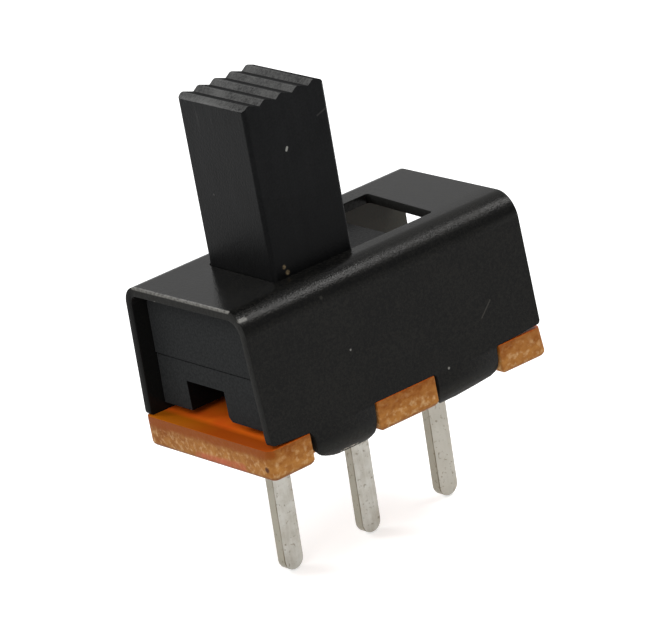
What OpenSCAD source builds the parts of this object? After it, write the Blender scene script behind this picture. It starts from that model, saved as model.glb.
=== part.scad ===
// Miniature slide switch for a circuit board: one pole, two ways, with a tall ribbed knob.
// The board's face is z = 0. The middle terminal stands on the Z axis, and the knob slides along X.
// It is drawn with the knob at the -X end of its travel.

/* [Body] */
// Length of the cover
body_l = 10.4; // [9.8:0.1:13]
// Width over the cover's two long folds
body_w = 5.8; // [5.4:0.1:8]
// Height of the cover above the base plate
cover_h = 4.2; // [3.8:0.1:6]
// Thickness of the cover's sheet steel
sheet_t = 0.3; // [0.2:0.05:0.4]
// Inside radius of the two long folds of the cover
fold_r = 0.5; // [0.15:0.05:0.6]
// How far each side wall stands out from its fold, at its lower end
wall_splay = 0.18; // [0:0.01:0.2]
// Thickness of the laminate base plate
base_t = 0.95; // [0.7:0.05:1.6]
// How far the base plate stands out beyond each end of the cover
base_end_lip = 0.08; // [0:0.01:0.2]
// How far the base plate stands out beyond each side wall's lower end
base_side_lip = 0.02; // [0:0.01:0.1]
// Radius of the base plate's corners, seen from above
base_corner_r = 0.2; // [0.05:0.01:0.4]

/* [Clinch tabs] */
// Width of a tab where it leaves the cover's wall
tab_w = 2.42; // [1.8:0.02:2.8]
// Distance from the middle of the switch to the middle of a tab
tab_x = 2.36; // [2:0.01:3]
// How much a tab narrows on each side, down to its fold
tab_taper = 0.1; // [0:0.05:0.2]
// Radius of a tab's lower corners
tab_corner_r = 0.6; // [0.2:0.05:0.7]
// Reach of a tab's foot under the base plate, from the wall's outer face
tab_foot = 0.9; // [0.8:0.05:1.6]
// Inside radius of a tab's fold under the base plate
tab_fold_r = 0.15; // [0.05:0.01:0.2]
// Gap between a tab and each side of its notch in the base plate
notch_gap = 0.04; // [0.02:0.01:0.2]

/* [Slider] */
// Distance that the block stops short of the cover's open end
end_recess = 0.5; // [0.2:0.05:0.6]
// Gap between the block and the cover, above it and at each side
slide_gap = 0.05; // [0.03:0.01:0.1]
// Gap between the block's feet and the base plate
foot_gap = 0.25; // [0.1:0.05:0.4]
// Width of the channel that clears the terminals' blades
channel_w = 1.85; // [1.5:0.05:2.4]
// Offset of the channel from the line of the terminals
channel_y = 0.42; // [0.2:0.02:0.5]
// Gap between the channel's roof and the top of the blades
channel_gap = 0.2; // [0.1:0.05:0.4]
// Chamfer inside the foot that stands nearer the terminals
foot_chamfer = 0.14; // [0.05:0.01:0.2]
// Height of the mould's parting step above the base plate
step_z = 1.85; // [1.6:0.05:2.4]
// Depth of the mould's parting step
step_d = 0.05; // [0.02:0.01:0.1]

/* [Knob] */
// Length of the knob along its travel
knob_l = 3; // [2:0.05:3.4]
// Width of the knob
knob_w = 3.25; // [2:0.05:3.6]
// Height of the knob above the cover
knob_h = 5.4; // [2:0.05:10]
// Radius of the knob's upright edges
knob_edge_r = 0.18; // [0.05:0.01:0.3]
// Radius of the knob's two upper edges along its travel
knob_top_r = 0.12; // [0.05:0.01:0.3]
// Height of the rounding of the knob's upper edge at its +X end
knob_end_r = 0.2; // [0.05:0.01:0.3]
// Distance that the knob moves
travel = 2.8; // [2.6:0.05:3]
// Number of ribs across the knob's top
ribs = 5; // [3:1:6]
// Height of a rib
rib_h = 0.13; // [0.08:0.01:0.25]
// Run of a rib's steep side
rib_rise = 0.2; // [0.1:0.01:0.24]
// Gap between the knob and each end of the slot
slot_end_gap = 0.15; // [0.05:0.01:0.3]
// Gap between the knob and each side of the slot
slot_side_gap = 0.05; // [0.04:0.01:0.2]
// Radius of the slot's corners
slot_corner_r = 0.1; // [0.05:0.01:0.3]

/* [Terminals] */
// Distance from one terminal to the next
pitch = 3; // [2.8:0.05:3.2]
// Width of a pin
pin_w = 0.7; // [0.5:0.05:0.8]
// Thickness of the terminals' metal
pin_t = 0.3; // [0.2:0.05:0.4]
// Length of a pin below the base plate
pin_l = 4.3; // [2.5:0.1:8]
// Width of a contact blade inside the switch
blade_w = 0.9; // [0.7:0.05:1.2]
// Height of a contact blade above the base plate
blade_h = 1; // [0.8:0.05:1.2]
// Chamfer on the two upper corners of a blade
blade_chamfer = 0.2; // [0.1:0.01:0.3]
// Width of a terminal's shoulder, which rests on the base plate
shoulder_w = 1.3; // [1.2:0.05:1.6]
// Height of the shoulder
shoulder_h = 0.25; // [0.15:0.05:0.35]
// How far the staked ears stand out at each side of a pin
stake_d = 0.08; // [0.04:0.01:0.15]
// Height of the staked ears under the base plate
stake_h = 0.15; // [0.1:0.01:0.18]
// Gap around a pin in its slot through the base plate
pin_gap = 0.02; // [0.01:0.01:0.04]

/* [Moving contact] */
// Thickness of the contact's spring strip
clip_t = 0.12; // [0.08:0.01:0.15]
// Width of a contact finger
finger_w = 0.8; // [0.5:0.05:1]
// Gap between a finger's crest and the blade it wipes
wipe_gap = 0.03; // [0.02:0.01:0.05]
// Height of the finger's crest above the base plate
crest_h = 0.62; // [0.55:0.01:0.7]
// Gap between the contact and its pocket in the slider
pocket_gap = 0.04; // [0.02:0.01:0.06]
// Depth of the pocket above the channel's roof
pocket_h = 0.65; // [0.5:0.05:0.9]

/* [Hidden] */
$fn = 48;

base_top = sheet_t + base_t;
cover_top = base_top + cover_h;
knob_top = cover_top + knob_h;

// The side walls lean out by this much for each unit of height, from the folds down
wall_lean = wall_splay / (cover_h - sheet_t - fold_r);
wall_y = body_w / 2 + wall_splay;

// Block and knob, in the slider's own place: its middle is x = 0 here
rest_x = -travel / 2;
block_l = body_l - travel - 2 * end_recess;
block_w = body_w - 2 * (sheet_t + slide_gap);
block_top = cover_top - sheet_t - slide_gap;
foot_z = base_top + foot_gap;
blade_top = base_top + blade_h;
channel_top = blade_top + channel_gap;
pocket_top = channel_top + pocket_h;
channel_near = channel_y - channel_w / 2;
channel_far = channel_y + channel_w / 2;
rib_pitch = knob_l / ribs;

slot_l = knob_l + travel + 2 * slot_end_gap;
slot_w = knob_w + 2 * slot_side_gap;

clip_l = pitch + finger_w;
crest_z = base_top + crest_h;
crest_y = pin_t / 2 + wipe_gap + 0.6 * clip_t;
finger_end_z = foot_z + 0.05;
web_z = pocket_top - clip_t / 2;
near_leg_y = channel_near + pocket_gap + clip_t / 2;
far_leg_y = channel_far - pocket_gap - clip_t / 2;

// Carries a profile drawn in Y and Z along X
module along_x(length) {
    rotate([90, 0, 90]) linear_extrude(length, center = true) children();
}

// Carries a profile drawn in X and Z along Y
module along_y(length) {
    rotate([90, 0, 0]) linear_extrude(length, center = true) children();
}

module rounded_rect(length, width, r) {
    square([length - 2 * r, width], center = true);
    square([length, width - 2 * r], center = true);
    for (x = [-1, 1], y = [-1, 1])
        translate([x * (length / 2 - r), y * (width / 2 - r)]) circle(r);
}

// Fills from one height to another, with two rounded upper corners and sides that lean out below them
module arch(width, low, high, r, lean = 0) {
    side = width / 2;
    foot = side + lean * (high - r - low);
    polygon([[-side, high - r], [side, high - r], [foot, low], [-foot, low]]);
    translate([r - side, low]) square([width - 2 * r, high - low]);
    for (x = [-1, 1]) translate([x * (side - r), high - r]) circle(r);
}

// Points of a soft corner at c, between a and b
function soft(a, c, b, steps = 4) =
    [for (i = [0 : steps]) let (t = i / steps) (1 - t) * (1 - t) * a + 2 * t * (1 - t) * c + t * t * b];

// Places its child at each of the four tabs
module at_tabs() {
    for (x = [-1, 1], y = [0, 1]) mirror([0, y, 0]) translate([x * tab_x, -wall_y, 0]) children();
}

// The wall's section at a tab: down past the base plate and round under it
module tab_section() {
    r = tab_fold_r + sheet_t;
    root = wall_lean * fold_r;
    polygon([[0, r], [0, base_top], [root, base_top + fold_r],
             [root + sheet_t, base_top + fold_r], [sheet_t, base_top], [sheet_t, r]]);
    translate([r, 0]) square([tab_foot - r, sheet_t]);
    intersection() {
        translate([r, r]) difference() {
            circle(r);
            circle(tab_fold_r);
        }
        square(r);
    }
}

module tab_front() {
    tip_w = tab_w - 2 * tab_taper;
    polygon([[-tab_w / 2, base_top + fold_r], [-tab_w / 2, base_top], [-tip_w / 2, tab_corner_r],
             [tip_w / 2, tab_corner_r], [tab_w / 2, base_top], [tab_w / 2, base_top + fold_r]]);
    translate([0, tab_corner_r]) rounded_rect(tip_w, 2 * tab_corner_r, tab_corner_r - 0.001);
}

module tab() {
    intersection() {
        along_x(tab_w) tab_section();
        along_y(4 * tab_foot) tab_front();
        linear_extrude(3 * base_top, center = true) rounded_rect(tab_w, 2 * tab_foot, tab_corner_r);
    }
}

// One sheet, folded down along both sides, slotted for the knob and clinched under the base plate
module cover() {
    color("#2c2d2e") difference() {
        union() {
            along_x(body_l) difference() {
                arch(body_w, base_top, cover_top, fold_r + sheet_t, wall_lean);
                arch(body_w - 2 * sheet_t, base_top - 1, cover_top - sheet_t, fold_r, wall_lean);
            }
            at_tabs() tab();
        }
        translate([0, 0, cover_top]) linear_extrude(2 * sheet_t + fold_r, center = true)
            rounded_rect(slot_l, slot_w, slot_corner_r);
    }
}

module base_plate() {
    notch_d = sheet_t + tab_fold_r + pin_gap;
    color("#b8672c") translate([0, 0, sheet_t]) linear_extrude(base_t) difference() {
        rounded_rect(body_l + 2 * base_end_lip, 2 * (wall_y + base_side_lip), base_corner_r);
        at_tabs() rounded_rect(tab_w + 2 * notch_gap, 2 * notch_d, notch_gap);
        for (x = [-pitch, 0, pitch])
            translate([x, 0]) square([pin_w + 2 * pin_gap, pin_t + 2 * pin_gap], center = true);
    }
}

// The knob's side view: ribs that rise steeply from -X and fall away gently, into a rounded end
module knob_profile() {
    low = knob_top - rib_h;
    crest = 0.4 * rib_rise;
    fall = (rib_pitch - rib_rise) / 2;
    ribbed = [for (i = [0 : ribs - 1]) let (x = i * rib_pitch - knob_l / 2)
        each concat([[x, low]], soft([x + rib_rise - crest, knob_top - rib_h * crest / rib_rise],
                                     [x + rib_rise, knob_top],
                                     [x + rib_rise + crest, knob_top - rib_h * crest / (rib_pitch - rib_rise)]))];
    polygon(concat([[-knob_l / 2, block_top - sheet_t]], ribbed,
                   soft([knob_l / 2 - fall, low + rib_h / 2], [knob_l / 2, low], [knob_l / 2, low - knob_end_r]),
                   [[knob_l / 2, block_top - sheet_t]]));
}

// One moulding: the block under the cover and the knob that stands out of it
module slider() {
    color("#303234") translate([rest_x, 0, 0]) difference() {
        union() {
            along_x(block_l) arch(block_w, base_top + step_z, block_top, fold_r);
            along_x(block_l - 2 * step_d)
                translate([-block_w / 2, foot_z]) square([block_w, step_z - foot_gap + step_d]);
            intersection() {
                along_y(knob_w) knob_profile();
                along_x(knob_l) arch(knob_w, foot_z, knob_top, knob_top_r);
                linear_extrude(knob_top) rounded_rect(knob_l, knob_w, knob_edge_r);
            }
        }
        along_x(2 * block_l) union() {
            translate([channel_near, 0]) square([channel_w, channel_top]);
            translate([channel_near, foot_z]) rotate(45) square(foot_chamfer * sqrt(2), center = true);
        }
        along_x(clip_l + 2 * pocket_gap) translate([channel_near, foot_z])
            square([channel_w, pocket_top - foot_z]);
    }
}

// A strip of even thickness along a path of points
function turn(p, i) =
    let (a = p[max(i, 1)] - p[max(i, 1) - 1], b = p[min(i + 1, len(p) - 1)] - p[min(i, len(p) - 2)],
         u = a / norm(a), v = b / norm(b), n = [-u[1] - v[1], u[0] + v[0]])
    n / (1 + u * v);
module strip(path, t) {
    sides = [for (i = [0 : len(path) - 1]) turn(path, i) * t / 2];
    polygon([each [for (i = [0 : len(path) - 1]) path[i] + sides[i]],
             each [for (i = [len(path) - 1 : -1 : 0]) path[i] - sides[i]]]);
}

// One bronze strip: two pairs of fingers pinch neighbouring blades, joined by a web above them
module moving_contact() {
    bend = 2 * clip_t;
    web = [[near_leg_y, web_z - bend], [near_leg_y, web_z - bend / 2], [near_leg_y + bend / 2, web_z],
           [far_leg_y - bend / 2, web_z], [far_leg_y, web_z - bend / 2], [far_leg_y, web_z - bend]];
    fingers = concat([[-crest_y - clip_t, finger_end_z], [-crest_y, crest_z],
                      [near_leg_y, crest_z + 2 * bend]], web,
                     [[crest_y, crest_z], [crest_y + clip_t, finger_end_z]]);
    color("#d8d0c0") translate([rest_x, 0, 0]) {
        for (x = [-1, 1]) translate([x * pitch / 2, 0, 0]) along_x(finger_w) strip(fingers, clip_t);
        along_x(pitch - finger_w) strip(web, clip_t);
    }
}

// One flat stamping: pin below, staked ears and shoulder either side of the base plate, blade above
module terminal(x) {
    tip_z = sheet_t - pin_l + pin_w / 2;
    side = [[pin_w / 2, tip_z], [pin_w / 2, sheet_t - stake_h], [pin_w / 2 + stake_d, sheet_t - stake_h],
            [pin_w / 2 + stake_d, sheet_t], [pin_w / 2, sheet_t], [pin_w / 2, base_top],
            [shoulder_w / 2, base_top], [shoulder_w / 2, base_top + shoulder_h],
            [blade_w / 2, base_top + shoulder_h], [blade_w / 2, blade_top - blade_chamfer],
            [blade_w / 2 - blade_chamfer, blade_top]];
    color("#b9b1a6") translate([x, 0, 0]) along_y(pin_t) {
        polygon([each side, for (i = [len(side) - 1 : -1 : 0]) [-side[i][0], side[i][1]]]);
        translate([0, tip_z]) circle(pin_w / 2);
    }
}

cover();
base_plate();
slider();
moving_contact();
terminal(-pitch);  // terminal_left
terminal(0);  // terminal_common
terminal(pitch);  // terminal_right
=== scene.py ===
import math

import bmesh
import bpy
from mathutils import Matrix, Vector


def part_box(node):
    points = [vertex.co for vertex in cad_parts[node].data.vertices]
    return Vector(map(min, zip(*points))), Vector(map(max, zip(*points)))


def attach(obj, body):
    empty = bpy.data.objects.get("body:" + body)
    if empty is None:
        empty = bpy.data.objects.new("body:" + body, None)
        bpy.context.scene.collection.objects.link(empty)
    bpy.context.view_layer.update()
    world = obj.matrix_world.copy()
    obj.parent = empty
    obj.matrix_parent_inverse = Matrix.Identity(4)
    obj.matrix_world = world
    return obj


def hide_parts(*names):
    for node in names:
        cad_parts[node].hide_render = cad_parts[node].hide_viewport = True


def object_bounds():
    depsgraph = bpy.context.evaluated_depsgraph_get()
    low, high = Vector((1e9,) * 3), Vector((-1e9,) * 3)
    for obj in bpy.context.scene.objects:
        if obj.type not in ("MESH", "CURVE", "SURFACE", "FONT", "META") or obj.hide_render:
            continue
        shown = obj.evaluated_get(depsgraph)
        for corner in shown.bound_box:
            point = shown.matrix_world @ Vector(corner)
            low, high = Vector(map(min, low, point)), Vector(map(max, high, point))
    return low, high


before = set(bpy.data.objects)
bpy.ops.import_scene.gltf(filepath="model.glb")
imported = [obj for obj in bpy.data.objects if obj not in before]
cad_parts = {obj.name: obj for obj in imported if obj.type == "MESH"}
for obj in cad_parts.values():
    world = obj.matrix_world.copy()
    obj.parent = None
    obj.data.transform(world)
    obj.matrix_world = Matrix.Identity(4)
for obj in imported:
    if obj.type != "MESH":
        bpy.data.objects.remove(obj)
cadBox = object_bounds()

mm = 0.001
tiny = 1e-7            # two places nearer than this are one
square = 0.9           # a face looks along an axis when its normal goes this far that way
quarterTurn = math.pi / 2
cornerwise = 0.7071    # half a square's side, as a part of half its diagonal
alongX, alongY, alongZ = Vector((1, 0, 0)), Vector((0, 1, 0)), Vector((0, 0, 1))

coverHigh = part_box("cover")[1]
baseLow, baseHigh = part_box("base_plate")
sliderLow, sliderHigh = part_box("slider")
baseTop = baseHigh.z   # where the cover's walls end as well
print("frame loaded")


# Modelling helpers

def deselectAll():  # leaves edit mode as well
    if bpy.context.object and bpy.context.object.mode == "EDIT":
        bpy.ops.object.mode_set(mode="OBJECT")
    bpy.ops.object.select_all(action="DESELECT")


def choose(piece):
    deselectAll()
    piece.select_set(True)
    bpy.context.view_layer.objects.active = piece


def applyPlace(name):  # puts the active object's place into its mesh, and names both
    piece = bpy.context.object
    bpy.ops.object.transform_apply(location=True, rotation=True, scale=True)
    piece.name = piece.data.name = name
    return piece


def startBlock(name, low, high, turn=0, place=(0, 0, 0)):  # turned about X where it's drawn, then placed
    deselectAll()
    low, high = Vector(low), Vector(high)
    bpy.ops.mesh.primitive_cube_add(size=1, location=(low + high) / 2, scale=high - low)
    block = applyPlace(name)
    if turn:
        block.rotation_euler.x = turn
        block.location = place
        applyPlace(name)
    return block


def startPlate(name, low, high):  # a rectangle across Y or Z, the axis on which low and high agree
    deselectAll()
    low, high = Vector(low), Vector(high)
    size = high - low
    upright = size.y < tiny
    bpy.ops.mesh.primitive_plane_add(size=1, location=(low + high) / 2, rotation=(quarterTurn * upright, 0, 0))
    bpy.context.object.scale = (size.x, size.z if upright else size.y, 1)
    return applyPlace(name)


def pick(kind, test):  # selects the vertices, edges or faces that pass the test
    if bpy.context.object.mode != "EDIT":
        bpy.ops.object.mode_set(mode="EDIT")
    bpy.ops.mesh.select_mode(type=kind)
    bpy.ops.mesh.select_all(action="DESELECT")
    mesh = bmesh.from_edit_mesh(bpy.context.object.data)
    for item in {"VERT": mesh.verts, "EDGE": mesh.edges, "FACE": mesh.faces}[kind]:
        if test(item):
            item.select_set(True)
    mesh.select_flush_mode()
    bmesh.update_edit_mesh(bpy.context.object.data)


def everything(item):
    return True


def cut(axis, places, test=everything):  # cuts the faces that pass the test across an axis
    for place in places:
        pick("FACE", test)
        bpy.ops.mesh.bisect(plane_co=axis * place, plane_no=axis, threshold=tiny)


def remove(test):
    pick("FACE", test)
    bpy.ops.mesh.delete(type="FACE")


def extrude(offset):  # what is selected
    bpy.ops.mesh.extrude_region_move(TRANSFORM_OT_translate={"value": tuple(offset)})


def move(test, offset):
    pick("VERT", test)
    bpy.ops.transform.translate(value=offset)


def turnAbout(centre, test, angle, axis):
    pick("VERT", test)
    bpy.ops.transform.rotate(value=angle, orient_axis=axis, center_override=centre)


def roundEdges(test, radius, steps):
    pick("EDGE", test)
    bpy.ops.mesh.bevel(offset=radius, segments=steps, affect="EDGES")


def roundCorners(test, radius, steps):
    pick("VERT", test)
    bpy.ops.mesh.bevel(offset=radius, segments=steps, affect="VERTICES")


def outward():
    pick("FACE", everything)
    bpy.ops.mesh.remove_doubles(threshold=tiny)
    bpy.ops.mesh.normals_make_consistent(inside=False)


def applyModifier(piece, kind, **values):
    choose(piece)
    modifier = piece.modifiers.new(kind.lower(), kind)
    for name, value in values.items():
        setattr(modifier, name, value)
    bpy.ops.object.modifier_apply(modifier=modifier.name)


def takeAway(piece, cutter):
    applyModifier(piece, "BOOLEAN", object=cutter, operation="DIFFERENCE", solver="EXACT")
    bpy.data.objects.remove(cutter)


def soften(piece, width, steps=2, sharpOver=35, smoothUnder=32):  # the two angles in degrees
    applyModifier(piece, "BEVEL", width=width, segments=steps, limit_method="ANGLE",
                  angle_limit=math.radians(sharpOver), harden_normals=False)
    bpy.ops.object.shade_smooth_by_angle(angle=math.radians(smoothUnder))
    applyModifier(piece, "WEIGHTED_NORMAL", weight=50, keep_sharp=True)  # keeps the flat faces flat


def middle(item):
    return sum((v.co for v in item.verts), Vector()) / len(item.verts)


def extent(edge):  # how far it goes along each axis
    first, last = (v.co for v in edge.verts)
    return Vector([abs(gap) for gap in first - last])


def onLine(value, *places):
    return any(abs(value - place) < 20 * tiny for place in places)


def atLevel(edge, level):
    return all(onLine(v.co.z, level) for v in edge.verts)


def between(points, place):  # the value at a place, from pairs of place and value
    for (low, first), (high, last) in zip(points, points[1:]):
        if place <= high:
            return first + (last - first) * max(0, place - low) / (high - low)
    return points[-1][1]


# Cover: one sheet, folded, slotted and clinched. In all the keys, -1 is the end or side towards -X or -Y

coverForm = {
    "sheet": 0.3 * mm,
    "length": 10.4 * mm,
    "foldWidth": 5.8 * mm,     # over the two long folds; the walls lean out below them
    "foldRadius": {-1: 0.8 * mm, 1: 0.6 * mm},  # outside, along each side
    "foldSteps": 12,
    "wallEnds": {-1: (0.02 * mm, 0.1 * mm), 1: (0.02 * mm, 0)},  # how far each wall's corners are out, and up
    "wallCorner": 0.12 * mm,
    "endRise": 0.035 * mm,     # of the top, at the far end
    "endSkew": {-1: 0.1 * mm, 1: 0.07 * mm},  # how far the near corners of the ends are moved along
    "tabWidth": 2.42 * mm,
    "tabPlace": {-1: -2.46 * mm, 1: 2.27 * mm},
    "tabRows": (6, 12),        # of faces, above the bend and in a quarter turn of it
    "slotEnds": (-2.92 * mm, 3.15 * mm),
    "slotSkew": 0.07 * mm,     # its far end isn't quite square
    "slotWidth": 3.35 * mm,
    "slotCorner": {(-1, -1): 0.1 * mm, (-1, 1): 0.2 * mm, (1, -1): 0.1 * mm, (1, 1): 0.1 * mm},
    "edge": 0.035 * mm,
}

# Each tab was hammered over a little differently. Radius is its bend's, lift moves the bend up, and reach is
# its length from where the bend starts. Outer and inner say how far each of its sides has drawn in at a
# distance from there: pairs of distance and inset. All are in mm.
tabForms = {
    (-1, -1): {"radius": 0.83, "lift": -0.025, "reach": 1.5,
               "outer": ((-0.43, 0), (-0.3, 0.09), (-0.2, 0.13), (0.3, 0.13), (0.42, 0.25), (0.6, 0.55),
                         (0.9, 1.1), (1.5, 1.25)),
               "inner": ((-0.43, 0), (-0.35, 0.01), (0.35, 0.055), (0.55, 0.08), (0.75, 0.2), (1.0, 0.375),
                         (1.25, 0.72), (1.5, 1.01))},
    (1, -1): {"radius": 0.9, "lift": 0.025, "reach": 1.0,
              "outer": ((-0.35, 0), (-0.3, 0.02), (0.2, 0.05), (0.42, 0.07), (0.58, 0.24), (0.8, 1.2),
                        (1.0, 1.53)),
              "inner": ((-0.35, 0), (-0.28, 0.05), (0.3, 0.075), (0.7, 0.14), (0.85, 0.2), (1.0, 0.35))},
    (-1, 1): {"radius": 0.55, "lift": 0.02, "reach": 1.2,
              "outer": ((-0.68, 0), (-0.6, 0.05), (0.5, 0.1), (0.8, 0.2), (1.0, 0.4), (1.2, 0.8)),
              "inner": ((-0.68, 0), (-0.6, 0.05), (0.5, 0.1), (0.75, 0.2), (1.0, 0.5), (1.2, 0.9))},
    (1, 1): {"radius": 0.6, "lift": 0.0, "reach": 1.25,
             "outer": ((-0.65, 0), (-0.57, 0.05), (0.5, 0.12), (0.85, 0.25), (1.05, 0.45), (1.25, 0.9)),
             "inner": ((-0.65, 0), (-0.57, 0.05), (0.6, 0.08), (0.9, 0.2), (1.1, 0.4), (1.25, 0.7))},
}


def shapeTab(x, y, form, tab):  # draws the tongue straight down from its wall, then bends it under
    radius, middleX, half = tab["radius"] * mm, form["tabPlace"][x], form["tabWidth"] / 2
    straightRows, bentRows = form["tabRows"]
    step = quarterTurn / bentRows
    row, start = radius * quarterTurn / bentRows, radius + tab["lift"] * mm
    end = start - tab["reach"] * mm

    def onTab(place):
        return place.z < baseTop - tiny and place.x * x > 0 and place.y * y > 0

    pick("EDGE", lambda e: atLevel(e, baseTop) and abs(middle(e).x - middleX) < half and middle(e).y * y > 0)
    extrude((0, 0, end - baseTop))
    rows = [start + (baseTop - start) * k / straightRows for k in range(straightRows - 1, 0, -1)]
    rows += [start - k * row for k in range(int((start - end) / row) + 1)]
    cut(alongZ, rows, lambda f: onTab(middle(f)))
    for side, outline in ((x, tab["outer"]), (-x, tab["inner"])):
        for level in rows + [end]:
            inset = between(outline, (start - level) / mm) * mm
            move(lambda v: onTab(v.co) and onLine(v.co.x, middleX + side * half) and onLine(v.co.z, level),
                 (-side * inset, 0, 0))
    pick("VERT", everything)
    flat = [v.co.copy() for v in bmesh.from_edit_mesh(bpy.context.object.data).verts]
    pivot, angle, level = Vector((middleX, y * coverHigh.y, start)), 0, start
    for k in range(bentRows + 1):
        bend = step / 2 if k in (0, bentRows) else step
        turnAbout(pivot, lambda v: onTab(flat[v.index]) and flat[v.index].z < level - tiny, y * bend, "X")
        angle, level = angle + bend, level - row
        pivot += Vector((0, -y * math.sin(angle), -math.cos(angle))) * row


def makeCover(form):
    half, end = form["foldWidth"] / 2, form["length"] / 2
    foldFoot = coverHigh.z - form["foldRadius"][-1] - tiny
    cover = startBlock("cover_shell", (-end, -half, baseTop), (end, half, coverHigh.z))
    remove(lambda f: f.normal.z < -square or abs(f.normal.x) > square)
    for side, radius in form["foldRadius"].items():
        roundEdges(lambda e: atLevel(e, coverHigh.z) and onLine(middle(e).y, side * half), radius,
                   steps=form["foldSteps"])
    tabSides = [place + s * form["tabWidth"] / 2 for place in form["tabPlace"].values() for s in (-1, 1)]
    cut(alongX, tabSides, lambda f: abs(f.normal.y) > square)
    for side in (-1, 1):
        move(lambda v: onLine(v.co.z, baseTop) and v.co.y * side > 0, (0, side * (coverHigh.y - half), 0))
    for (x, y), tab in tabForms.items():
        shapeTab(x, y, form, tab)

    # The ends, none of them quite square
    for side, (out, up) in form["wallEnds"].items():
        move(lambda v: onLine(v.co.z, baseTop) and onLine(abs(v.co.x), end) and v.co.y * side > 0,
             (0, side * out, up))
    for side, skew in form["endSkew"].items():
        move(lambda v: onLine(v.co.x, side * end) and v.co.y < 0 and (side < 0 or v.co.z > foldFoot),
             (skew, 0, 0))
    move(lambda v: v.co.x > end - tiny and v.co.z > foldFoot, (0, 0, form["endRise"]))
    nearX, nearZ = 2 * form["endSkew"][-1], 2 * form["wallEnds"][-1][1]  # wide enough for any of the corners
    roundCorners(lambda v: abs(v.co.x) > end - nearX and baseTop - tiny < v.co.z < baseTop + nearZ,
                 form["wallCorner"], steps=3)
    applyModifier(cover, "SOLIDIFY", thickness=form["sheet"], offset=-1, use_even_offset=True)

    left, right = form["slotEnds"]
    slot = startBlock("slot_cutter", (left, -form["slotWidth"] / 2, coverHigh.z - mm),
                      (right, form["slotWidth"] / 2, coverHigh.z + mm))
    for side in (-1, 1):
        move(lambda v: v.co.x > 0 and v.co.y * side > 0, (side * form["slotSkew"], 0, 0))
    for (x, y), radius in form["slotCorner"].items():
        roundEdges(lambda e: extent(e).z > mm and middle(e).x * x > 0 and middle(e).y * y > 0, radius, steps=4)
    takeAway(cover, slot)
    soften(cover, form["edge"])
    return cover


cover = makeCover(coverForm)
print("cover folded")


# Base plate: punched from paper laminate

baseForm = {
    "ends": (-5.26 * mm, 5.21 * mm),
    "under": 0.035 * mm,       # how much lower than drawn its end by the knob is
    "tilt": 0.0048,            # of its lower side, in radians
    "burr": 0.07 * mm,         # at the foot of the corner at +X and -Y
    "notchWidth": 2.5 * mm,
    "notchDepth": 0.62 * mm,
    "slotLength": 0.8 * mm,    # for a terminal
    "slotWidth": 0.34 * mm,
    "corner": 0.24 * mm,
    "punchedEdge": 0.17 * mm,  # the lower edges, rounded by the punch
    "topEdge": 0.03 * mm,
}


def makeBase(form):
    (left, right), under = form["ends"], baseLow.z - form["under"]
    punched, mostTilt = under + form["punchedEdge"], 0.1 * mm  # the tilt lifts no edge as far as that
    notches, notchHalf = coverForm["tabPlace"].values(), form["notchWidth"] / 2
    notchY = coverHigh.y - form["notchDepth"]
    pins = [sum(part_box(name), Vector()).x / 2 for name in ("terminal_left", "terminal_common", "terminal_right")]
    slotX, slotY = form["slotLength"] / 2, form["slotWidth"] / 2

    def inNotch(item):
        return abs(middle(item).y) > notchY and any(abs(middle(item).x - x) < notchHalf for x in notches)

    def inSlot(item, slack=0):
        return abs(middle(item).y) < slotY + slack and any(abs(middle(item).x - x) < slotX + slack for x in pins)

    def innerPart(item):
        return abs(middle(item).y) < notchY

    plate = startPlate("base_board", (left, baseLow.y, under), (right, baseHigh.y, under))
    cut(alongX, [x + s * notchHalf for x in notches for s in (-1, 1)])
    cut(alongY, (-notchY, notchY))
    cut(alongX, [x + s * slotX for x in pins for s in (-1, 1)], innerPart)
    cut(alongY, (-slotY, slotY), innerPart)
    remove(inNotch)
    remove(inSlot)
    pick("FACE", everything)
    extrude((0, 0, baseHigh.z - under))
    outward()
    roundEdges(lambda e: extent(e).z > tiny and onLine(middle(e).x, left, right)
               and onLine(abs(middle(e).y), baseHigh.y), form["corner"], steps=4)
    roundEdges(lambda e: atLevel(e, under) and not inSlot(e, tiny) and len(e.link_faces) == 2
               and abs(e.link_faces[0].normal.z - e.link_faces[1].normal.z) > 0.5, form["punchedEdge"], steps=3)
    turnAbout((left, 0, under), lambda v: v.co.z < punched + tiny, form["tilt"], "Y")
    move(lambda v: v.co.x > right - form["corner"] - tiny and v.co.y < baseLow.y + form["corner"] + tiny
         and v.co.z < punched + mostTilt, (form["burr"], 0, 0))
    soften(plate, form["topEdge"])
    return plate


base = makeBase(baseForm)
print("base plate punched")


# Slider: one moulding, block and knob

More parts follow.
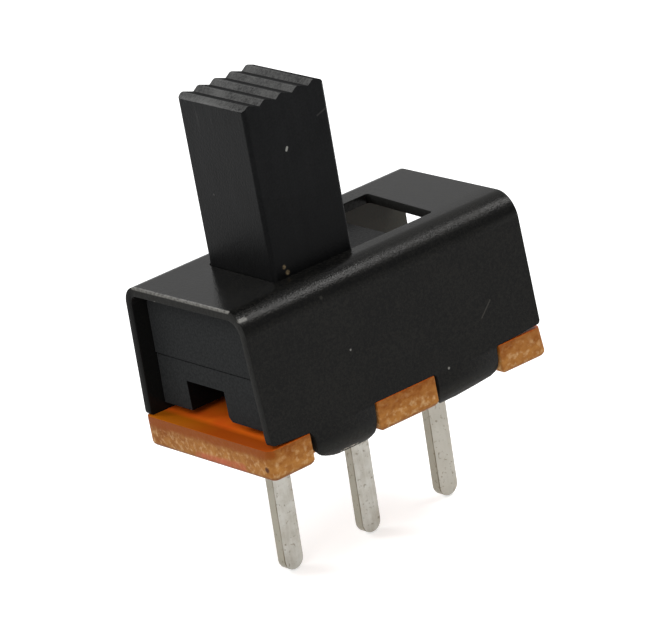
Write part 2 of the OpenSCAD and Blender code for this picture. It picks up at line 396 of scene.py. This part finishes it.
sliderForm = {
    "blockTop": coverHigh.z - 0.35 * mm,
    "blockEdge": 0.45 * mm,
    "step": baseTop + 1.85 * mm,
    "stepDepth": 0.03 * mm,
    "parting": (0.05 * mm, 0.05 * mm),   # height and depth of the line where the mould's halves met
    "farFoot": 0.19 * mm,      # how much wider the block is at its foot, on the far side
    "farShares": (1.0, 0.5, 0.48),       # of that, at the foot, at the step and over the parting line
    "channelNear": -0.505 * mm,
    "channelFar": 1.345 * mm,
    "channelRoof": baseTop + 1.2 * mm,
    "footChamfer": 0.14 * mm,
    "pocketLength": 3.88 * mm,
    "pocketRoof": baseTop + 1.85 * mm,
    "knobLength": 3.02 * mm,
    "knobWidth": 3.25 * mm,
    "knobShift": -0.04 * mm,   # it stands a little to one side in its slot
    "knobLean": 0.08 * mm,     # at its top, away from the end where it rests
    "knobDraft": 0.08 * mm,    # what its +X face lacks at the foot
    "knobEdges": {-1: 0.13 * mm, 1: 0.12 * mm},  # the upright ones at its resting end, on each side
    "farEdge": 0.15 * mm,      # round its +X face
    "ribs": 5,
    "ribHeight": 0.14 * mm,
    "ribRise": 0.2 * mm,       # along the knob, from a valley to its crest
    "ribEdge": 0.06 * mm,
    "edge": 0.035 * mm,
}


def makeBlock(form, place):  # the part under the cover, drawn from the side and drawn out across
    top, step = form["blockTop"], form["step"]
    high, deep = form["parting"]
    parting = step + high
    piece = startPlate("slide_block", sliderLow, (sliderHigh.x, sliderLow.y, top))
    cut(alongZ, (step, parting))
    for depth in (form["stepDepth"], deep):
        cut(alongX, (sliderLow.x + depth, sliderHigh.x - depth), lambda f: middle(f).z < parting)
    remove(lambda f: middle(f).z < parting and abs(middle(f).x - place) > (sliderHigh.x - sliderLow.x) / 2
           - (form["stepDepth"] if middle(f).z < step else deep))
    pick("FACE", everything)
    extrude((0, sliderHigh.y - sliderLow.y, 0))
    outward()
    for level, share in zip((sliderLow.z, step, parting), form["farShares"]):
        move(lambda v: onLine(v.co.z, level) and onLine(v.co.y, sliderHigh.y), (0, form["farFoot"] * share, 0))
    roundEdges(lambda e: atLevel(e, top) and onLine(abs(middle(e).y), sliderHigh.y), form["blockEdge"], steps=5)
    return piece


def raiseKnob(form, place):  # grows it out of the block's top, ribs and all
    top, low, pitch = form["blockTop"], sliderHigh.z - form["ribHeight"], form["knobLength"] / form["ribs"]
    long, wide, shift = form["knobLength"] / 2, form["knobWidth"] / 2, form["knobShift"]

    def facesUp(level):
        return lambda f: f.normal.z > square and onLine(middle(f).z, level)

    cut(alongX, (place - long, place + long), facesUp(top))
    cut(alongY, (shift - wide, shift + wide), facesUp(top))
    pick("FACE", lambda f: facesUp(top)(f) and abs(middle(f).x - place) < long
         and abs(middle(f).y - shift) < wide)
    extrude((0, 0, low - top))
    valleys = [place - long + k * pitch for k in range(1, form["ribs"])]
    crests = [place - long + k * pitch + form["ribRise"] for k in range(form["ribs"])]
    cut(alongX, valleys + crests, facesUp(low))
    move(lambda v: onLine(v.co.z, low) and onLine(v.co.x, *crests), (0, 0, form["ribHeight"]))
    roundEdges(lambda e: onLine(middle(e).x, place + long) and middle(e).z > top + tiny, form["farEdge"],
               steps=4)
    for side, radius in form["knobEdges"].items():
        roundEdges(lambda e: extent(e).z > (low - top) / 2 and middle(e).x < place and middle(e).y * side > 0,
                   radius, steps=4)
    roundEdges(lambda e: onLine(middle(e).z, sliderHigh.z) and extent(e).y > mm, form["ribEdge"], steps=3)
    move(lambda v: v.co.z > coverHigh.z + mm, (form["knobLean"], 0, 0))
    move(lambda v: onLine(v.co.z, top) and place < v.co.x < place + long + tiny
         and abs(v.co.y - shift) < wide + tiny, (-form["knobDraft"], 0, 0))


def hollowBlock(piece, form, place):  # the channel over the terminals' blades, and the moving contact's pocket
    near, far, pocket = form["channelNear"], form["channelFar"], form["pocketLength"] / 2
    left, right = sliderLow.x - mm, sliderHigh.x + mm
    half = form["footChamfer"] * cornerwise
    takeAway(piece, startBlock("channel_cutter", (left, near, 0), (right, far, form["channelRoof"])))
    takeAway(piece, startBlock("chamfer_cutter", (left, -half, -half), (right, half, half), quarterTurn / 2,
                               (0, near, sliderLow.z)))
    takeAway(piece, startBlock("pocket_cutter", (place - pocket, near, 0),
                               (place + pocket, far, form["pocketRoof"])))


def makeSlider(form):
    place = (sliderLow.x + sliderHigh.x) / 2
    piece = makeBlock(form, place)
    raiseKnob(form, place)
    hollowBlock(piece, form, place)
    soften(piece, form["edge"])
    return piece


slider = makeSlider(sliderForm)
print("slider moulded")


# Terminals: stamped once, copied to their places

terminalForm = {
    "pinWidth": 0.7 * mm,
    "earWidth": 0.86 * mm,
    "earHeight": 0.15 * mm,
    "bladeWidth": 0.9 * mm,
    "bladeChamfer": 0.2 * mm,
    "shoulderHeight": 0.25 * mm,
    "tipRound": 0.98,          # its radius as a part of half the pin's width
    "lean": 0.21 * mm,         # how far the tips lean towards the knob's end
    "tipRise": 0.05 * mm,
    "swell": 0.07 * mm,        # how much thicker the pins are below the plate
    "edge": 0.05 * mm,
    "rightShift": 0.04 * mm,   # the right one sits to one side of its slot
}


def makeTerminal(form):
    low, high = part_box("terminal_common")
    low.z += form["tipRise"]
    pin, ear, blade = form["pinWidth"] / 2, form["earWidth"] / 2, form["bladeWidth"] / 2
    earFoot, shoulder = baseLow.z - form["earHeight"], baseTop + form["shoulderHeight"]

    def outside(face):
        x, z = abs(middle(face).x), middle(face).z
        if z > shoulder:
            return x > blade
        if z > baseTop:
            return False
        return x > (ear if earFoot < z < baseLow.z else pin)

    piece = startPlate("pin_common", low, (high.x, low.y, high.z))
    cut(alongX, (-pin, pin, -ear, ear, -blade, blade))
    cut(alongZ, (earFoot, baseLow.z, baseTop, shoulder))
    remove(outside)
    pick("FACE", everything)
    bpy.ops.mesh.dissolve_limited(angle_limit=math.radians(1))
    roundCorners(lambda v: onLine(v.co.z, low.z), pin * form["tipRound"], steps=7)
    roundCorners(lambda v: onLine(v.co.z, high.z), form["bladeChamfer"], steps=1)
    pick("FACE", everything)
    extrude((0, high.y - low.y, 0))
    outward()
    move(lambda v: v.co.z < earFoot + tiny and onLine(v.co.y, high.y), (0, form["swell"], 0))
    turnAbout((0, 0, 0), lambda v: v.co.z < 0, -math.atan(form["lean"] / -low.z), "Y")
    soften(piece, form["edge"], steps=3)
    return piece


def copyTo(piece, name, place):
    choose(piece)
    bpy.ops.object.duplicate(linked=False)
    bpy.ops.transform.translate(value=place)
    return applyPlace(name)


pinCommon = makeTerminal(terminalForm)
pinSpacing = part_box("terminal_right")[0].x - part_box("terminal_common")[0].x
pinLeft = copyTo(pinCommon, "pin_left", (-pinSpacing, 0, 0))
pinRight = copyTo(pinCommon, "pin_right", (pinSpacing + terminalForm["rightShift"], 0, 0))
print("terminals stamped")


# Materials

class Wire:  # a socket in a material, so that sums on it can be written in Python
    def __init__(self, tree, socket=None):
        self.tree, self.socket = tree, socket

    def add(self, kind, settings=None, sockets=None, out=0):  # any node: settings, then sockets' values or links
        node = self.tree.nodes.new("ShaderNode" + kind)
        for name, value in (settings or {}).items():
            setattr(node, name, value)
        for name, value in (sockets or {}).items():
            if isinstance(value, Wire):
                self.tree.links.new(value.socket, node.inputs[name])
            else:
                node.inputs[name].default_value = value
        return Wire(self.tree, node.outputs[out] if node.outputs else None)

    def sum(self, operation, first, second, clamp=False):
        return self.add("Math", {"operation": operation, "use_clamp": clamp}, {0: first, 1: second})

    def __add__(self, other): return self.sum("ADD", self, other)
    def __radd__(self, other): return self.sum("ADD", other, self)
    def __sub__(self, other): return self.sum("SUBTRACT", self, other)
    def __rsub__(self, other): return self.sum("SUBTRACT", other, self)
    def __mul__(self, other): return self.sum("MULTIPLY", self, other)
    def __rmul__(self, other): return self.sum("MULTIPLY", other, self)

    def span(self, low, high, newLow=0.0, newHigh=1.0):
        return self.add("MapRange", None, {"Value": self, "From Min": low, "From Max": high,
                                           "To Min": newLow, "To Max": newHigh})

    def mix(self, first, second):  # this value chooses between two colours, at the node's sockets 6 and 7
        first, second = (c if isinstance(c, Wire) else (*c, 1) for c in (first, second))
        return self.add("Mix", {"data_type": "RGBA"}, {"Factor": self, 6: first, 7: second}, out=2)


def startMaterial(name):
    material = bpy.data.materials.new(name)
    material.use_nodes = True
    material.node_tree.nodes.clear()
    wire = Wire(material.node_tree)
    place = stretch(wire.add("TexCoord", out="Object"), 1 / mm, 1 / mm, 1 / mm)  # so patterns are sized in mm
    return material, wire, place


def finishMaterial(wire, shader):
    wire.add("OutputMaterial", None, {"Surface": shader})


def surface(wire, **sockets):
    names = {"colour": "Base Color", "roughness": "Roughness", "metallic": "Metallic", "normal": "Normal",
             "level": "Specular IOR Level", "tint": "Specular Tint"}
    return wire.add("BsdfPrincipled", None,
                    {names[k]: (*v, 1) if isinstance(v, tuple) else v for k, v in sockets.items()})


def blend(wire, mask, first, second):
    return wire.add("MixShader", None, {0: mask, 1: first, 2: second})


def stretch(place, *scale):
    return place.add("Mapping", None, {"Vector": place, "Scale": scale})


def apart(vector):  # its three numbers
    node = vector.add("SeparateXYZ", None, {"Vector": vector}).socket.node
    return [Wire(vector.tree, socket) for socket in node.outputs]


def facing(wire):  # the way the surface looks, in the switch's own axes
    return apart(wire.add("TexCoord", out="Normal"))


def magnitude(value):
    return value.add("Math", {"operation": "ABSOLUTE"}, {0: value})


def larger(*values):
    most = values[0]
    for value in values[1:]:
        most = most.sum("MAXIMUM", most, value)
    return most


def vectorMath(place, operation, *vectors, out=0):
    return place.add("VectorMath", {"operation": operation}, dict(enumerate(vectors)), out=out)


def spot(place, point, radius):  # 1 about a point in mm, 0 outside the radius
    return vectorMath(place, "DISTANCE", place, point, out=1).span(radius * 0.5, radius, 1, 0)


def spots(place, marks):
    return larger(*(spot(place, *mark) for mark in marks))


def scratch(place, start, end, radius):  # the same about a line
    start, along = Vector(start), Vector(end) - Vector(start)
    offset = vectorMath(place, "SUBTRACT", place, start)
    share = vectorMath(place, "DOT_PRODUCT", offset, along / along.length_squared, out=1)
    share = place.sum("ADD", share, 0.0, clamp=True)
    return spot(place, vectorMath(place, "MULTIPLY_ADD", share, along, start), radius)


def noise(place, width, detail=3.0, roughness=0.5):
    return place.add("TexNoise", None, {"Vector": place, "Scale": 1 / width, "Detail": detail,
                                        "Roughness": roughness})


def bump(height, depth):
    return height.add("Bump", None, {"Height": height, "Distance": depth, "Strength": 1.0})


# The looks below give marks as a point and a radius, or two points and a radius, and zones as pairs of places
# between which they come in, in the order x, y, z, some with a strength. Places and radii are in mm.
coatLook = {
    "black": (0.0032, 0.0033, 0.0034),
    "thin": (0.0100, 0.0096, 0.0084),
    "deep": (0.0065, 0.0065, 0.0062),
    # painted light: the far wall's inside, under the slot
    "inside": (0.052, 0.054, 0.044),
    "dull": (0.025, 0.025, 0.0235),
    "tabs": (0.030, 0.030, 0.0275),
    # painted highlight on the near end's top edge and the near fold's corner, and bare steel where the coat is
    # worn
    "bareAndHighlight": (0.20, 0.195, 0.18),
    "faint": (0.035, 0.033, 0.029),
    # painted glint on the hammered tab
    "glint": (0.55, 0.50, 0.42),
    "roughness": 0.18,
    "foldRoughness": 0.21,
    "level": 0.09,
    "dullRoughness": 0.5,
    "dullLevel": 0.03,
    "tint": (1.0, 0.98, 0.95),
    "grain": 0.09,
    "fineGrain": 0.045,
    "clouds": 1.6,
    "depth": 0.004 * mm,
    # painted highlights: a pale line along the near end's top edge, partly worn coat, and a pale streak at the
    # near fold's corner
    "edgeHighlightAndWear": ((-5.19, 2.4, 5.44), (-5.09, -2.2, 5.44), 0.08),
    "paintedCornerHighlight": ((-5.05, -2.66, 5.22), (-4.85, -2.66, 5.22), 0.085),
    "specks": (((-1.66, -3.0, 3.09), 0.045), ((1.6, -3.08, 1.27), 0.05), ((-5.2, 1.38, 5.13), 0.07),
               ((-5.2, 0.93, 5.12), 0.06), ((-5.2, 0.26, 5.17), 0.05)),
    "faintSpeck": ((-2.23, -2.85, 4.93), 0.07),
    "scratch": ((3.59, -3.0, 2.69), (3.16, -3.03, 2.28), 0.03),
    "paintedGlint": ((-2.55, -2.8, 0.2), (-1.95, -2.8, 0.2), 0.06),  # painted glint on the bare metal where the tab was hammered over
    "litWall": ((-4.5, -2.0), (5.16, 5.1)),          # painted light on the far wall's inside, seen through the slot
    "farEnd": ((-4.9, -5.1), (2.3, 2.6)),            # painted shade, where the far wall's cut end is darker
    "nearEnd": ((-2.35, -2.6), (4.9, 4.5), 0.3),
    "paintedTopShade": ((-0.6, 1.2), (-1.5, -2.2), 0.4),        # painted shade on the top, beside the slot
    "smoothFold": ((-1.5, 1.0), (4.5, 2.0), 0.13),   # where it shines less: along x, from each of its ends
    "shadedFold": (4.0, 4.4),
    "tabTop": (0.85, 0.6),
}


def coatedSteel(look):
    material, wire, place = startMaterial("coated_steel")
    x, y, z = apart(place)
    outX, outY, outZ = facing(wire)
    grain, fine = noise(place, look["grain"], 3), noise(place, look["fineGrain"], 1)
    cloud = noise(place, look["clouds"], 4)

    # Where each part and mark is, from 0 to 1
    fold = (magnitude(outY) * magnitude(outZ)).span(0.15, 0.45)  # the surface looks both up and aside
    inner = (outY * y).span(-0.2, -0.6)                          # it looks towards the middle
    tab = z.span(*look["tabTop"])
    cutEnd = magnitude(outX).span(0.6, 0.85)
    along, up = look["litWall"]
    litWall = x.span(*along) * z.span(*up)
    along, across = look["farEnd"]
    farEnd = cutEnd * y.span(*across) * x.span(*along)
    across, up, strength = look["nearEnd"]
    nearEnd = cutEnd * y.span(*across) * z.span(*up) * strength
    # Painted shade: the near fold has a dark line along its foot
    shaded = (0 - outY).span(0.8, 0.88) * (0 - outY).span(0.985, 0.94) * z.span(*look["shadedFold"])
    # painted shade: the top is duller and darker in a strip beside the slot
    along, across, strength = look["paintedTopShade"]
    paintedTopShade = y.span(*across) * x.span(*along) * outZ.span(0.8, 0.95) * strength
    # painted highlight along the near end's top edge, partly worn coat, and at the near fold's corner; the specks
    # are real wear
    edgeHighlightAndWear = scratch(place, *look["edgeHighlightAndWear"]) * grain.span(0.35, 0.6, 0.4, 1)
    paintedCornerHighlight = scratch(place, *look["paintedCornerHighlight"]) * fine.span(0.3, 0.6, 0.4, 0.8)
    wearAndHighlight = larger(edgeHighlightAndWear, paintedCornerHighlight, spots(place, look["specks"]))
    faint = larger(scratch(place, *look["scratch"]), spot(place, *look["faintSpeck"]))
    # painted glint: pale bare metal where the tab was hammered over
    paintedGlint = scratch(place, *look["paintedGlint"]) * grain.span(0.45, 0.6)

    colour = (cloud * 0.2 + grain * 0.5 + fine * 0.3).span(0.42, 0.62).mix(look["black"], look["thin"])
    # painted light: the inner faces are lighter where the far wall shows through the slot
    innerColour = (litWall * cloud.span(0.35, 0.6, 0.6, 1)).mix(look["deep"], look["inside"])
    colour = wearAndHighlight.mix(inner.mix(colour, innerColour), look["bareAndHighlight"])
    colour = faint.mix(colour, look["faint"])
    rough = cloud.span(0.35, 0.65, look["roughness"] - 0.03, look["roughness"] + 0.04)
    rise, fall, most = look["smoothFold"]
    patch = x.span(*rise, 0, most) * x.span(*fall, 0.3, 1)
    rough = rough + fold * (look["foldRoughness"] - look["roughness"] + (fine - 0.5) * 0.5 + patch)
    normal = bump(grain + fine * 0.5 + fold * fine + cloud * 0.6, look["depth"])
    shiny = surface(wire, colour=colour, roughness=rough, normal=normal, level=look["level"], tint=look["tint"])

    dull = grain.span(0.25, 0.75, 0, 0.7).mix(tab.mix(look["dull"], look["tabs"]), look["thin"])
    # painted shade on the far wall's cut end at the near end; the near wall's cut end is a little darker towards
    # its foot
    dull = larger(farEnd, nearEnd).mix(dull, look["deep"])
    dull = shaded.mix(paintedGlint.mix(wearAndHighlight.mix(dull, look["bareAndHighlight"]), look["glint"]), look["black"])
    matt = surface(wire, colour=dull, roughness=look["dullRoughness"], normal=normal, level=look["dullLevel"])
    finishMaterial(wire, blend(wire, larger(cutEnd, tab, shaded * 0.45, paintedTopShade), shiny, matt))
    return material


mouldingLook = {
    "black": (0.0045, 0.0047, 0.005),
    "pale": (0.0085, 0.0088, 0.0092),
    # painted shade towards the knob's foot
    "deep": (0.002, 0.002, 0.002),
    "roughness": 0.36,
    "level": 0.051,
    "blockPale": (0.030, 0.031, 0.0315),
    "blockBlack": (0.021, 0.0222, 0.0225),
    "blockRoughness": 0.6,
    "blockLevel": 0.01,
    # painted highlight on the ribs' steep slopes
    "wearAndHighlight": (0.08, 0.08, 0.078),
    # painted shade on the ribs' long slopes
    "paintedSlopeShade": (0.010, 0.010, 0.010),
    "chalk": (0.24, 0.24, 0.22),
    "faint": (0.035, 0.034, 0.033),
    "brass": (0.16, 0.12, 0.07),
    "grain": 0.07,
    "clouds": 1.1,
    "streaks": 0.2,
    "depth": 0.006 * mm,
    "chalkSpeck": ((-1.60, -1.66, 9.11), (-1.56, -1.66, 9.18), 0.05),
    "faintSpeck": ((-2.86, 0.63, 7.82), 0.05),
    "brassSpecks": (((-2.49, -1.66, 5.78), 0.08), ((-2.4, -1.66, 5.58), 0.09)),
    "scratch": ((-0.3, -1.66, 9.73), (0.1, -1.66, 9.86), 0.035),
    "blockTop": (5.05, 4.9),
    "foot": (8.5, 5.0),        # painted shade: the knob is blacker towards it
    "streaked": (8.5, 10.5),
    "streakedMost": (9.3, 10.3),
    "ribbed": (10.4, 10.6),
}


def blackMoulding(look):
    material, wire, place = startMaterial("black_moulding")
    z = apart(place)[2]
    outX, _, outZ = facing(wire)
    grain, cloud = noise(place, look["grain"], 2), noise(place, look["clouds"], 4)
    streak = noise(stretch(place, 1, 1, 0.12), look["streaks"], 3)
    onRibs = z.span(*look["ribbed"]) * outZ.span(0.3, 0.6)
    paintedGlint = onRibs * outX.span(0.1, -0.2) * (grain + cloud).span(0.6, 1.2)  # painted highlight on the ribs' steep slopes
    paintedSlopeShade = onRibs * outX.span(0.1, 0.25)                                   # painted shade on their long ones
    block = z.span(*look["blockTop"]) * magnitude(outX).span(0.4, 0.7)       # the block's ends

    colour = (cloud * 0.4 + grain * 0.4 + streak * 0.2).span(0.38, 0.64).mix(look["black"], look["pale"])
    # painted shade towards the knob's foot
    colour = z.span(*look["foot"], 0, 0.75).mix(colour, look["deep"])
    # painted highlight: the ribs' steep slopes are paler
    colour = paintedGlint.mix(colour, look["wearAndHighlight"])
    colour = scratch(place, *look["chalkSpeck"]).mix(colour, look["chalk"])
    faint = larger(scratch(place, *look["scratch"]) * 0.6, spot(place, *look["faintSpeck"]),
                   streak.span(0.62, 0.74) * z.span(*look["streakedMost"]) * magnitude(outX) * 0.5)
    colour = faint.mix(colour, look["faint"])
    brass = spots(place, look["brassSpecks"]) * grain.span(0.35, 0.6, 0.3, 1)
    colour = brass.mix(colour, look["brass"])
    normal = bump(grain + streak * z.span(*look["streaked"]) + onRibs * cloud * 4, look["depth"])
    rough = grain.span(0.3, 0.7, look["roughness"] - 0.05, look["roughness"] + 0.07)
    shiny = surface(wire, colour=colour, roughness=rough, normal=normal, level=look["level"])

    blockColour = grain.span(0.35, 0.65).mix(look["blockBlack"], look["blockPale"])
    # painted shade: the ribs' long slopes are matt and dark
    matt = surface(wire, colour=paintedSlopeShade.mix(blockColour, look["paintedSlopeShade"]), roughness=look["blockRoughness"],
                   normal=normal, level=look["blockLevel"])
    finishMaterial(wire, blend(wire, larger(paintedSlopeShade, block), shiny, matt))
    return material


laminateLook = {
    "face": (1.0, 0.195, 0.010),
    # painted shade on the top where it shows outside the cover
    "faceDeep": (0.92, 0.125, 0.012),
    "rim": (0.46, 0.080, 0.006),
    "farRim": (0.52, 0.135, 0.005),
    "cutDark": (0.23, 0.064, 0.006),
    "cutPale": (0.43, 0.185, 0.042),
    "fleck": (0.57, 0.34, 0.15),
    "shorn": (0.26, 0.060, 0.004),
    "under": (0.40, 0.17, 0.05),
    "red": (0.50, 0.12, 0.06),
    "brown": (0.10, 0.03, 0.01),
    "cutRoughness": 0.62,
    "gloss": 0.36,             # how much smoother the faces are than the cut sides
    "level": 0.14,
    "fibres": 0.3,
    "clouds": 0.9,
    "flecks": 0.17,
    "depth": 0.03 * mm,
    "redBand": ((-5.26, -1.6, 0.42), (-5.26, 0.6, 0.36), 0.24),
    "brownSpot": ((-5.26, -2.83, 0.64), 0.12),
    "shornBand": ((-5.0, -5.1), (0.9, 1.05), 0.3),   # of one end, with how ragged its lower side is
    "paintedRimShade": ((-4.6, -4.82), (-2.75, -2.95)),     # painted shade where the top shows outside the cover
    "flecked": (1.25, 0.7),
}


def laminate(look):
    material, wire, place = startMaterial("paper_laminate")
    x, y, z = apart(place)
    outZ = facing(wire)[2]
    fibre, cloud = noise(stretch(place, 1, 1, 1.6), look["fibres"], 4, 0.6), noise(place, look["clouds"], 3)
    fleck = noise(place, look["flecks"], 4).span(0.5, 0.72)
    flat, below = magnitude(outZ).span(0.75, 0.9), outZ.span(-0.75, -0.9)  # both faces, and the lower one
    along, up, ragged = look["shornBand"]
    shorn = x.span(*along) * (z + (cloud - 0.5) * ragged).span(*up)

    # The cut sides are darker towards the top, in the fibres and on the far side
    deep = z.span(0.65, 1.15) * 0.6 + fibre.span(0.38, 0.62, 0.5, 0) + y.span(0.8, 2.4) * 0.3
    cutColour = deep.mix(look["cutPale"], look["cutDark"])
    cutColour = (fleck * z.span(*look["flecked"]) * (1 - shorn)).mix(cutColour, look["fleck"])
    cutColour = (shorn * 0.85).mix(cutColour, look["shorn"])
    red = scratch(place, *look["redBand"]) * fibre.span(0.35, 0.55, 0.4, 0.85)
    brown = larger(spot(place, *look["brownSpot"]), z.span(0.43, 0.3, 0, 0.75))
    cutColour = brown.mix(red.mix(cutColour, look["red"]), look["brown"])
    # painted shade: the top is darker where it shows outside the cover
    along, across = look["paintedRimShade"]
    rim = larger(x.span(*along), y.span(*across))
    faceColour = cloud.span(0.3, 0.7).mix(look["face"], look["faceDeep"])
    faceColour = rim.mix(faceColour, y.span(-0.3, 1.5).mix(look["rim"], look["farRim"]))
    colour = below.mix(flat.mix(cutColour, faceColour), look["under"])
    rough = look["cutRoughness"] - flat * look["gloss"]
    normal = bump(fibre * (1 - flat) + cloud * 0.15, look["depth"])
    finishMaterial(wire, surface(wire, colour=colour, roughness=rough, normal=normal, level=look["level"]))
    return material


tinLook = {
    "tin": (0.55, 0.545, 0.50),
    "dull": (0.43, 0.41, 0.355),
    # painted shade on the pins' thin sides
    "side": (0.34, 0.32, 0.26),
    # stains, and painted dark lines along the pins' rounded edges
    "stainAndEdgeShade": (0.14, 0.115, 0.07),
    "roughness": (0.4, 0.52),
    "metallic": 0.6,
    "clouds": 0.5,
    "drawing": 0.4,            # lines along the pins
    "stains": 0.13,
    "depth": 0.008 * mm,
    "dullPin": (1.5, 2.5),
}


def dullTin(look):
    material, wire, place = startMaterial("dull_tin")
    x = apart(place)[0]
    outX, outY, _ = facing(wire)
    cloud, draw = noise(place, look["clouds"], 5, 0.6), noise(stretch(place, 6, 6, 0.5), look["drawing"], 3)
    corner = (magnitude(outX) * magnitude(outY)).span(0.25, 0.48)  # the pins' rounded edges
    colour = (cloud * 0.7 + draw * 0.3).span(0.4, 0.64).mix(look["tin"], look["dull"])
    colour = (x.span(*look["dullPin"]) * 0.7).mix(colour, look["dull"])
    # painted shade: the pins' thin sides are darker
    colour = magnitude(outX).span(0.6, 0.95).mix(colour, look["side"])
    # real stains, and painted dark lines along the pins' rounded edges
    stainAndEdgeShade = larger(corner * draw.span(0.35, 0.55, 0.3, 1), noise(place, look["stains"], 3).span(0.6, 0.7) * 0.6)
    colour = stainAndEdgeShade.mix(colour, look["stainAndEdgeShade"])
    finishMaterial(wire, surface(wire, colour=colour, roughness=cloud.span(0.3, 0.7, *look["roughness"]),
                                 metallic=look["metallic"], normal=bump(draw * 0.5 + cloud, look["depth"])))
    return material


bronzeLook = {
    "bright": (0.75, 0.70, 0.60),
    "brown": (0.62, 0.52, 0.38),
    "roughness": (0.22, 0.34),
    "clouds": 0.6,
}


def platedBronze(look):
    material, wire, place = startMaterial("plated_bronze")
    cloud = noise(place, look["clouds"], 4)
    colour = cloud.span(0.35, 0.65).mix(look["bright"], look["brown"])
    finishMaterial(wire, surface(wire, colour=colour, roughness=cloud.span(0.3, 0.7, *look["roughness"]),
                                 metallic=1.0))
    return material


def dress(piece, material, slot, body=None, *nodes):
    piece.data.materials.clear()
    piece.data.materials.append(material)
    if body:
        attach(piece, body)
        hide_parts(*nodes)


deselectAll()
tin = dullTin(tinLook)
dress(cover, coatedSteel(coatLook), "black_coated_steel", "frame", "cover")
dress(base, laminate(laminateLook), "laminate", "frame", "base_plate")
dress(slider, blackMoulding(mouldingLook), "black_moulding", "slide", "slider")
dress(pinLeft, tin, "tinned_brass", "frame", "terminal_left")
dress(pinCommon, tin, "tinned_brass", "frame", "terminal_common")
dress(pinRight, tin, "tinned_brass", "frame", "terminal_right")
dress(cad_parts["moving_contact"], platedBronze(bronzeLook), "plated_bronze")
print("pieces dressed")


# Studio

studio = {
    "floorSize": 4,            # m
    "floorColour": (0.78, 0.78, 0.78),
    "floorGlow": 0.52,         # added where the camera sees the floor, so that it stays white
    "farGlow": 0.75,           # the same, far from the switch, where the lamps don't reach
    "nearFloor": 180,          # mm
    "worldLight": 0.45,
    "lamps": {                 # place and size in mm, power in W
        "key": {"place": (-72, -62, 72), "size": (70, 60), "power": 0.045},
        "top": {"place": (15, 25, 110), "size": (80, 80), "power": 0.025},
        "edge": {"place": (62, -35, 93), "size": (60, 22), "power": 0.068},
        "back": {"place": (-40, 92, 62), "size": (60, 40), "power": 0.055},
    },
}


def seenDirectly(wire):  # 1 for the camera, for reflections and through glass
    camera, glossy, through = (wire.add("LightPath", out=f"Is {ray} Ray")
                               for ray in ("Camera", "Glossy", "Transmission"))
    return wire.sum("MINIMUM", camera + glossy + through, 1.0)


def makeFloor(look):
    deselectAll()
    bpy.ops.mesh.primitive_plane_add(size=look["floorSize"], location=(0, 0, cadBox[0].z))
    floor = bpy.context.object
    floor.name = "floor"
    material, wire, place = startMaterial("pale_floor")
    near = spot(place, (0, 0, 0), look["nearFloor"])
    glow = seenDirectly(wire) * near.span(0, 1, look["farGlow"], look["floorGlow"])
    matt = wire.add("BsdfDiffuse", None, {"Color": (*look["floorColour"], 1)})
    shining = wire.add("Emission", None, {"Strength": glow})
    finishMaterial(wire, wire.add("AddShader", None, {0: matt, 1: shining}))
    floor.data.materials.append(material)


def makeWorld(look):
    world = bpy.data.worlds.new("studio")
    bpy.context.scene.world = world
    world.use_nodes = True
    world.node_tree.nodes.clear()
    wire = Wire(world.node_tree)
    strength = seenDirectly(wire) * (1 - look["worldLight"]) + look["worldLight"]
    wire.add("OutputWorld", None, {"Surface": wire.add("Background", None, {"Strength": strength})})


def makeLight(name, light):
    deselectAll()
    bpy.ops.object.light_add(type="AREA", location=Vector(light["place"]) * mm)
    lamp = bpy.context.object
    lamp.name = name
    lamp.data.shape = "RECTANGLE"
    lamp.data.size, lamp.data.size_y = (side * mm for side in light["size"])
    lamp.data.energy = light["power"]
    lamp.rotation_euler = (-Vector(light["place"])).to_track_quat("-Z", "Y").to_euler()


makeFloor(studio)
makeWorld(studio)
for lampName, lamp in studio["lamps"].items():
    makeLight(lampName, lamp)

cameraView = {
    "azimuth": -34.28,
    "elevation": 19.77,
    "roll": -11.3,
    "distance": 167.4 * mm,
    "lens": 304.6,
    "sensor": 36,
    "clip": (0.01, 10),
    "aim": (-0.02 * mm, -0.08 * mm, -0.22 * mm),  # from the middle of the switch
}


def makeCamera(view):
    deselectAll()
    turn, lift, roll = (math.radians(view[angle]) for angle in ("azimuth", "elevation", "roll"))
    back = Vector((math.sin(turn) * math.cos(lift), -math.cos(turn) * math.cos(lift), math.sin(lift)))
    aim = (cadBox[0] + cadBox[1]) / 2 + Vector(view["aim"])
    bpy.ops.object.camera_add(location=aim + back * view["distance"])
    camera = bpy.context.object
    camera.data.lens, camera.data.sensor_width = view["lens"], view["sensor"]
    camera.data.clip_start, camera.data.clip_end = view["clip"]
    level = (-back).to_track_quat("-Z", "Y").to_matrix()
    camera.rotation_euler = (level @ Matrix.Rotation(roll, 3, "Z")).to_euler()
    bpy.context.scene.camera = camera


makeCamera(cameraView)
bpy.context.scene.view_settings.view_transform = "Standard"
print("studio ready")
